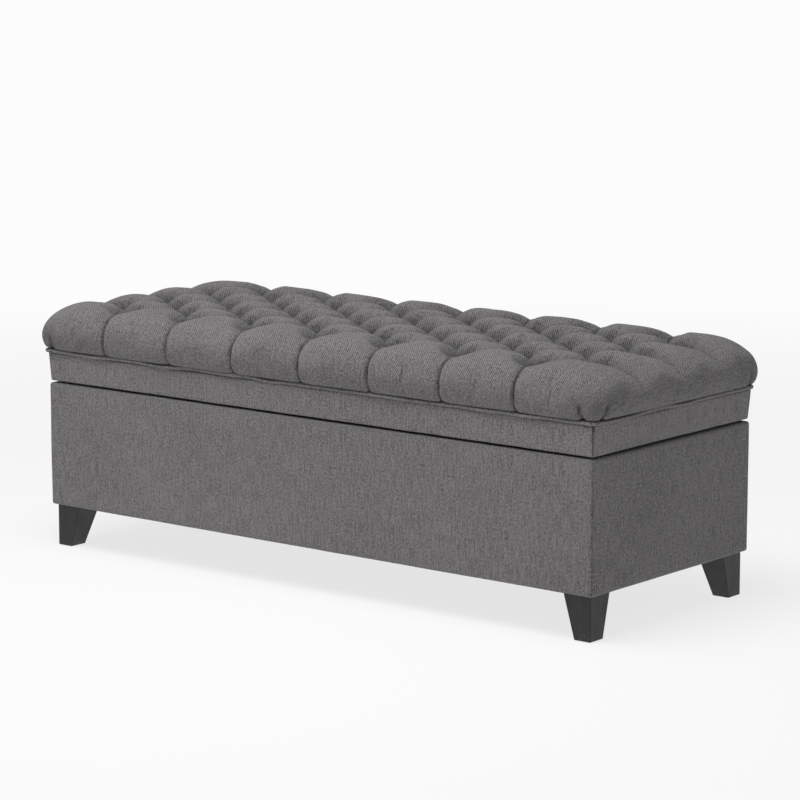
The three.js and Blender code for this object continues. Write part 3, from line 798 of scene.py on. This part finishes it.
def lid_band(material):
    low, high = BAND_LOW + 0.0006, BAND_HIGH + 0.0014
    corners = [(-0.022, low), (-0.0018, low), (0.0033, high - 0.002), (-0.001, high)]
    path = divided(rounded_path(corners, 0.003), 0.008)
    ring = Ring(BOX_HALF, COVER_CORNER + 0.001, STATION, CORNER_STEPS)
    piece, flat = sleeve("lid_band", ring, path, material, seam_shade=0.85, slack=0.0009, seed=5.0)
    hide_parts("band_front", "band_rear", "band_left", "band_right")
    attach(piece, "lid")


def welt_cord(material):
    """Cord in a strip of cloth, sewn between the seat and the band. It waves a little."""
    sides = 12
    middle = (WELT_LOW + WELT_HIGH) / 2
    turns = np.arange(sides) / sides * 2 * math.pi
    path = np.stack([WELT_OUT + WELT_RADIUS * np.cos(turns), middle + WELT_RADIUS * np.sin(turns)], 1)
    # painted shade at the cord's top and bottom, where it meets the seat and the band
    groove_shade = 0.95 * np.abs(np.sin(turns)) ** 3
    ring = Ring(BOX_HALF, 0.006, 0.006, CORNER_STEPS)
    piece, _ = sleeve("welt_cord", ring, path, material, closed=True, slack=0.0032, seed=9.0, groove_shade=groove_shade)
    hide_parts("welt")
    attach(piece, "lid")


# ---- Lining, and the cloth under the box ----

def lining_tub(material):
    """The well's lining: a tub of thin cloth, a little slack."""
    low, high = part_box("liner")
    bm = bmesh.new()
    bmesh.ops.create_cube(bm, size=2)
    bmesh.ops.delete(bm, geom=[f for f in bm.faces if f.normal.z > 0.5], context="FACES_ONLY")
    for axis, count in enumerate((96, 36, 16)):
        along = [e for e in bm.edges if abs(e.verts[0].co[axis] - e.verts[1].co[axis]) > 1e-4]
        bmesh.ops.subdivide_edges(bm, edges=along, cuts=count - 1)
    depth = high.z - low.z
    cloth = []
    for vert in bm.verts:
        x, y = vert.co.x * (high.x - 0.0012), vert.co.y * (high.y - 0.0012)
        z = low.z + 0.001 + (vert.co.z + 1) / 2 * depth
        on_wall_x, on_wall_y = abs(vert.co.x) > 0.999, abs(vert.co.y) > 0.999
        rise = z - low.z
        cloth_x = x + math.copysign(rise, x) * on_wall_x
        cloth_y = y + math.copysign(rise, y) * (on_wall_y and not on_wall_x)
        cloth.append((cloth_x, cloth_y))
        slack = 0.5 + 0.5 * noise.noise(Vector((x, y, 0.6 * z)) / 0.05)
        slack += 0.35 * noise.noise(Vector((x, y, z)) / 0.018)
        along = x if on_wall_y else y
        staple_pull = math.cos(2 * math.pi * along / 0.045) * max(0.0, 1 - (high.z - z) / 0.05)
        inward = 0.0012 * slack * min(1, rise / 0.02) + 0.0007 * staple_pull
        x -= math.copysign(inward, x) * on_wall_x
        y -= math.copysign(inward, y) * on_wall_y
        if not (on_wall_x or on_wall_y):
            z += 0.0016 * slack
        vert.co = (x, y, z)
    bmesh.ops.recalc_face_normals(bm, faces=bm.faces)
    piece = object_from(bm, "well_lining", material)
    set_cloth_places(piece.data, np.array(cloth))
    solidify = piece.modifiers.new("thickness", "SOLIDIFY")
    solidify.thickness = LINING_THICK
    solidify.offset = 0.0
    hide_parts("liner")
    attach(piece, "box")


def flat_lining(name, stands_for, body, material, notch=0.0):
    """A stapled sheet that covers the lid's underside, or the box's. It puckers at its staples."""
    low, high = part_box(stands_for)
    height = (low.z + high.z) / 2
    bm = bmesh.new()
    bmesh.ops.create_grid(bm, x_segments=150, y_segments=56, size=1)
    if notch:
        legs = []
        for face in bm.faces:
            centre = face.calc_center_median()
            if abs(centre.x) * high.x > high.x - notch and abs(centre.y) * high.y > high.y - notch:
                legs.append(face)
        bmesh.ops.delete(bm, geom=legs, context="FACES")
    cloth = []
    for vert in bm.verts:
        x, y = vert.co.x * high.x, vert.co.y * high.y
        from_edge = min(high.x - abs(x), high.y - abs(y))
        along = x if high.y - abs(y) < high.x - abs(x) else y
        pucker = 0.0007 * math.cos(2 * math.pi * along / 0.05) * math.exp(-from_edge / 0.02)
        wave = 0.0009 * noise.noise(Vector((x, y, height)) / 0.09) * min(1, from_edge / 0.05)
        edge_wave = 0.0012 * noise.noise(Vector((x, y, 1)) / 0.03) * math.exp(-from_edge / 0.01)
        cloth.append((x, y))
        vert.co = (x + edge_wave, y - edge_wave, height + pucker + wave)
    piece = object_from(bm, name, material)
    set_cloth_places(piece.data, np.array(cloth))
    solidify = piece.modifiers.new("thickness", "SOLIDIFY")
    solidify.thickness = 0.0007
    solidify.offset = 0.0
    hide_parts(stands_for)
    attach(piece, body)


def turned_profile(bm, profile, steps):
    """Spins a profile of (radius, height) points round Z."""
    verts = [bm.verts.new((r, 0, z)) for r, z in profile]
    edges = [bm.edges.new(pair) for pair in zip(verts, verts[1:])]
    centre, up, full = (0, 0, 0), (0, 0, 1), 2 * math.pi
    bmesh.ops.spin(bm, geom=verts + edges, cent=centre, axis=up, angle=full, steps=steps, use_merge=True)
    bmesh.ops.remove_doubles(bm, verts=bm.verts, dist=1e-6)


def repeated(name, make, spots, material, body):
    """One object that holds a copy of a small part at each spot, given as a matrix."""
    bm = bmesh.new()
    make(bm)
    bmesh.ops.recalc_face_normals(bm, faces=bm.faces)
    first = bm.verts[:] + bm.edges[:] + bm.faces[:]
    copies = [first]
    for _ in spots[1:]:
        copies.append(bmesh.ops.duplicate(bm, geom=first)["geom"])
    for matrix, geometry in zip(spots, copies):
        verts = [v for v in geometry if isinstance(v, bmesh.types.BMVert)]
        bmesh.ops.transform(bm, matrix=matrix, verts=verts)
    piece = object_from(bm, name, material)
    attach(piece, body)
    return piece


def facing(place, direction, turn=0.0):
    """The matrix that puts a part made along +Z at a place, pointing in a direction."""
    turned = Vector(direction).to_track_quat("Z", "Y").to_matrix().to_4x4()
    return Matrix.Translation(place) @ turned @ Matrix.Rotation(turn, 4, "Z")


def button(bm):
    """A flat dome covered in cloth."""
    dome = [(0, 0.0045), (0.004, 0.0042), (0.0078, 0.0028), (0.0092, 0.0004)]
    turned_profile(bm, dome + [(0.0086, -0.0016), (0, -0.0016)], 14)


def screw(bm):
    """A pan head with a recess in its middle."""
    recess = [(0, 0.0002), (0.0010, 0.0010), (0.0018, 0.0014)]
    turned_profile(bm, recess + [(0.0030, 0.0008), (0.0034, 0.0), (0, -0.0002)], 12)


def staple(bm):
    """A staple's crown, with its edges eased."""
    wire, half = 0.0005, 0.005
    bmesh.ops.create_cube(bm, size=1)
    bmesh.ops.scale(bm, vec=(2 * half, 2 * wire, 1.2 * wire), verts=bm.verts)
    bmesh.ops.bevel(
        bm, geom=bm.edges[:], offset=0.0002, segments=1, affect="EDGES", profile=0.5, material=-1
    )


def tuft_buttons(material):
    depth = TUFT_DEPTH + 0.0005
    spots = []
    for number, (column, row) in enumerate(tuft_places()):
        x, y = flat_xy(column, row)
        lean = Vector((0.06 * math.sin(3.1 * number), 0.06 * math.cos(2.3 * number), 1))
        spots.append(facing((x, y, CREST - depth + 0.0012), lean, number))
    piece = repeated("tuft_buttons", button, spots, material, "lid")
    places = np.array([v.co.xy for v in piece.data.vertices])
    set_cloth_places(piece.data, places)


def staples(name, sheet, body, material, below, along_x, along_y, sway):
    """Along the edge of a sheet's underside: (reach, count) each way, and how far and how often they sway."""
    low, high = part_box(sheet)
    angle, often, shift = sway
    spots = []
    down = (0, 0, -1)
    z = low.z - below
    for side in (-1, 1):
        for x in np.linspace(-along_x[0], along_x[0], along_x[1]):
            askew = angle * math.sin(often * x + shift * side)
            spots.append(facing((x, side * (high.y - STAPLE_INSET), z), down, askew))
        for y in np.linspace(-along_y[0], along_y[0], along_y[1]):
            askew = math.pi / 2 + 0.1 * math.sin(50 * y)
            spots.append(facing((side * (high.x - STAPLE_INSET), y, z), down, askew))
    repeated(name, staple, spots, material, body)


def screws(material):
    """Three in each hinge leaf, and two in each of the stays' brackets."""
    in_box, in_lid = [], []
    for where in ("left", "middle", "right"):
        low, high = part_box("hinge_box_leaf_" + where)
        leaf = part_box("hinge_lid_leaf_" + where)
        middle = (low.x + high.x) / 2
        for step in (-0.024, 0.0, 0.024):
            in_box.append(facing((middle + step, low.y + 0.010, 0.3158), (0, 0, 1), 40 * step))
            in_lid.append(facing((middle + step, leaf[0].y + 0.010, 0.3162), (0, 0, -1), 60 * step))
    flush = Matrix.Scale(0.4, 4, (0, 0, 1))
    for side in (-1, 1):
        low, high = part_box("stay_box_bracket_" + ("left" if side < 0 else "right"))
        y = (low.y + high.y) / 2
        for z in (low.z + 0.008, high.z - 0.008):
            in_box.append(facing((side * 0.6053, y + 0.004, z), (-side, 0, 0), z * 300) @ flush)
    repeated("box_screws", screw, in_box, material, "box")
    repeated("lid_screws", screw, in_lid, material, "lid")


# ---- Stage ----

def floor_material():
    """A white sweep that glows, as painted light: near the bench its glow is dimmer, a painted soft shadow,
    and it takes a faint real shadow there too; further out it fades to plain white.
    """
    material, tree, shader = new_material("pale_floor")
    place = add(tree, "TexCoord").outputs["Object"]
    away = add(tree, "VectorMath", {0: place}, operation="LENGTH").outputs["Value"]
    far = remap(tree, away, PAINTED_FLOOR_SHADE_FROM, PAINTED_FLOOR_SHADE_TO)
    # the floor glows as painted light; its glow is dimmer near the bench, a painted soft shadow
    near_painted_glow, far_painted_glow = 0.765, 0.98
    painted_glow = maths(tree, "MULTIPLY_ADD", far, far_painted_glow - near_painted_glow, near_painted_glow)
    shade = mix(tree, far, (0.185, 0.185, 0.185, 1), (0, 0, 0, 1))
    tree.links.new(shade, shader.inputs["Base Color"])
    tree.links.new(painted_glow, shader.inputs["Emission Strength"])
    shader.inputs["Emission Color"].default_value = (1.0, 0.995, 0.997, 1)
    shader.inputs["Roughness"].default_value = 1.0
    shader.inputs["Specular IOR Level"].default_value = 0.0
    return material


def floor_and_light():
    bm = bmesh.new()
    bmesh.ops.create_grid(bm, x_segments=8, y_segments=8, size=40)
    floor = object_from(bm, "studio_floor", floor_material(), smooth=False)
    world = bpy.data.worlds.new("studio")
    world.use_nodes = True
    tree = world.node_tree
    tree.nodes.clear()
    seen = add(tree, "Background", {"Color": (1, 1, 1, 1), "Strength": 0.98})
    lit = add(tree, "Background", {"Color": (1, 1, 1, 1), "Strength": 0.24})
    is_seen = add(tree, "LightPath").outputs["Is Camera Ray"]
    either = add(tree, "MixShader", {0: is_seen, 1: lit.outputs[0], 2: seen.outputs[0]})
    add(tree, "OutputWorld", {"Surface": either.outputs[0]})
    bpy.context.scene.world = world
    bpy.context.scene.view_settings.view_transform = "Standard"
    light = bpy.data.lights.new("overhead", "AREA")
    light.shape = "DISK"
    light.size = 2.2
    light.energy = 91
    lamp = bpy.data.objects.new("overhead", light)
    lamp.location = (0.0, -0.95, 2.9)
    lamp.rotation_euler = (-lamp.location).to_track_quat("-Z", "Y").to_euler()
    bpy.context.scene.collection.objects.link(lamp)


def camera():
    lens = bpy.data.cameras.new("view")
    lens.lens = 148.25
    lens.sensor_width = 36
    lens.clip_end = 100
    eye = bpy.data.objects.new("view", lens)
    eye.location = (3.7278, -4.6074, 1.3394)
    yaw, pitch = math.radians(-38.76), math.radians(-9.80)
    look = Vector((math.sin(yaw) * math.cos(pitch), math.cos(yaw) * math.cos(pitch), math.sin(pitch)))
    eye.rotation_euler = look.to_track_quat("-Z", "Y").to_euler()
    bpy.context.scene.collection.objects.link(eye)
    bpy.context.scene.camera = eye


camera()
floor_and_light()

woven = woven_group()
wood = wood_group()
yarn = {"group": woven, "thread": YARN}
# The seat, the box and the band wear one cloth in lit and shaded copies: the seat's copy is darker, as
# painted shade
seat_fabric = cloth_material(
    "seat_fabric", dark=(0.028, 0.0265, 0.027), light=(0.268, 0.254, 0.258), slubs=1.0, sheen=0.18, **yarn
)
fabric = cloth_material(
    "grey_fabric", dark=(0.033, 0.0312, 0.0317), light=(0.296, 0.280, 0.285), slubs=1.4, sheen=0.22, **yarn
)
# a lighter copy of the same cloth, as painted light; the welt wears it too
band_fabric = cloth_material(
    "band_fabric", dark=(0.038, 0.036, 0.0365), light=(0.335, 0.317, 0.322), slubs=1.4, sheen=0.22, **yarn
)
lining = cloth_material(
    "lining_cloth", woven, dark=(0.008, 0.008, 0.009), light=(0.030, 0.030, 0.033), thread=0.0007, slubs=0.4,
    sheen=0.15, bump=0.0002
)
dark_wood = wood_material(
    "dark_wood", wood, (0.014, 0.0125, 0.0125), (0.006, 0.0055, 0.0055), 0.42, contrast=0.8, upright=True,
    coat=0.08, scuffs=True
)
plywood = wood_material("plywood", wood, (0.56, 0.42, 0.26), (0.36, 0.24, 0.13), 0.62)
pine = wood_material("pine", wood, (0.62, 0.46, 0.28), (0.40, 0.26, 0.13), 0.60, 1.2)
steel = metal_material("zinc_steel", (0.62, 0.62, 0.64), 0.36)
plastic = plastic_material("glide_plastic")

for name, node in nodes.items():
    node.data.materials.clear()
    surface = plywood
    if name.startswith("leg_block") or "rail" in name or "cleat" in name:
        surface = pine
    elif name.startswith(("hinge_", "stay_", "leg_bolt")):
        surface = steel
    elif name.startswith("glide"):
        surface = plastic
    elif name.startswith("leg_"):
        surface = dark_wood
    elif name in ("liner", "lid_liner", "dust_cover"):
        surface = lining
    node.data.materials.append(surface)
    if surface in (steel, dark_wood):
        eased(node, 0.0007 if surface == dark_wood else 0.0002)

tufted_seat(seat_fabric)
box_cover(fabric)
lid_band(band_fabric)
welt_cord(band_fabric)
tuft_buttons(seat_fabric)
lining_tub(lining)
flat_lining("lid_lining", "lid_liner", "lid", lining)
flat_lining("dust_cloth", "dust_cover", "box", lining, notch=LEG_NOTCH)
staples("dust_cover_staples", "dust_cover", "box", steel, 0.0006, (0.52, 22), (0.13, 6), (0.12, 37, 1))
staples("lid_lining_staples", "lid_liner", "lid", steel, 0.0004, (0.57, 20), (0.17, 7), (0.1, 41, 0))
screws(steel)
